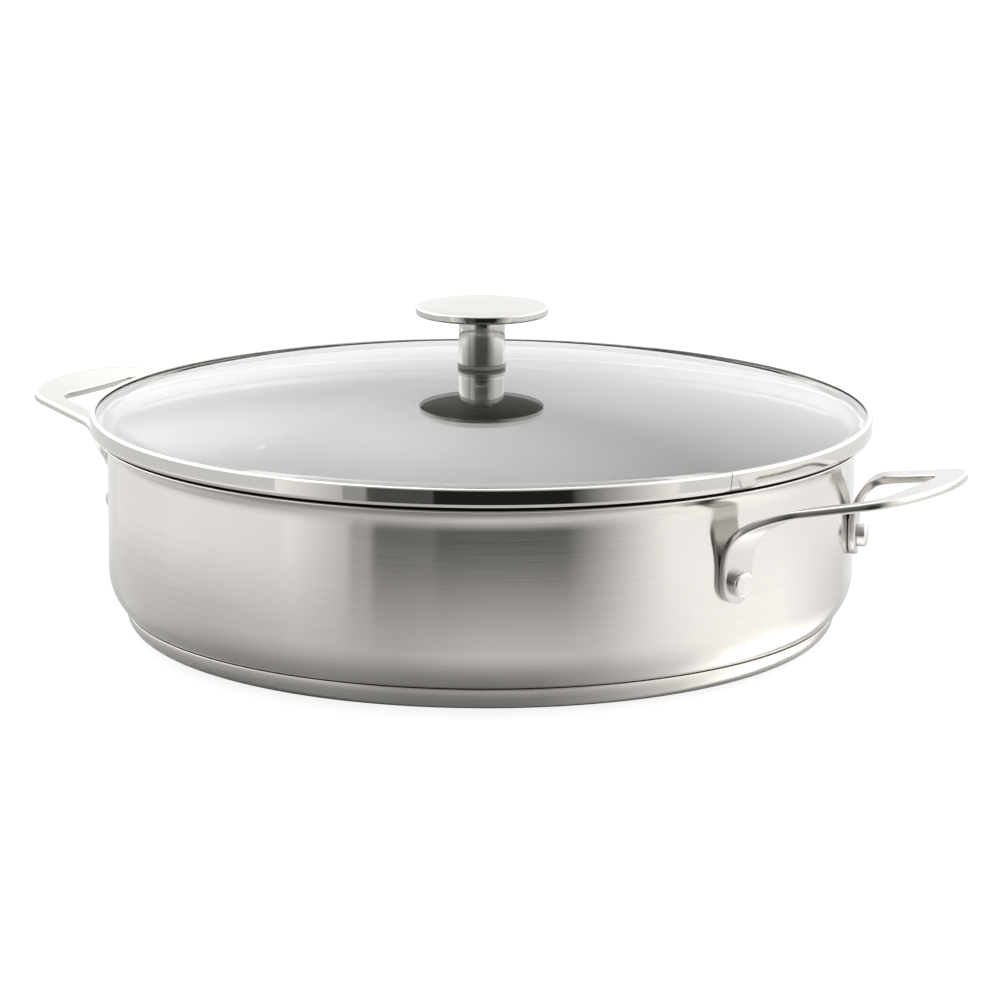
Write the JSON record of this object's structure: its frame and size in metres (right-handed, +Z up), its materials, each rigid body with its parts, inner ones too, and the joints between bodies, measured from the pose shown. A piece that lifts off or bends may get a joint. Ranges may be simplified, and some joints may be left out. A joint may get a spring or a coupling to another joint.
{
  "type": "two-handled deep frying pan with lid",
  "caption": "Straight-sided stainless steel deep pan with riveted loop handles, a capped heavy base, and a domed glass lid in a steel band with a disc knob.",
  "frame": {"origin": "centre of the base's flat underside, on the table", "axes": "+Z up along the pan's axis, +X through the middle of the right-hand handle of the picture"},
  "size_m": [0.3848, 0.2908, 0.1212],
  "materials": {
    "satin_steel": "satin",
    "handle_steel": "satin",
    "polished_steel": "polished",
    "core_aluminium": "plain",
    "clear_glass": "clear",
    "silicone": "matte"
  },
  "bodies": {
    "pan": {"pan_shell": "satin_steel", "base_cap": "satin_steel", "base_core": "core_aluminium", "handle_right": "handle_steel", "handle_left": "handle_steel", "rivet_right_front": "handle_steel", "rivet_right_rear": "handle_steel", "rivet_left_front": "handle_steel", "rivet_left_rear": "handle_steel"},
    "lid": {"lid_glass": "clear_glass", "lid_band": "polished_steel", "glass_bedding": "silicone", "knob_disc": "polished_steel", "knob_stem": "polished_steel", "knob_seal": "silicone", "lower_seal": "silicone", "screw_washer": "polished_steel", "knob_screw": "polished_steel"}
  },
  "joints": [
    {"name": "lid_lift", "type": "slide", "parent": "pan", "child": "lid", "axis": [0, 0, 1], "range_m": [0, 0.12]}
  ]
}
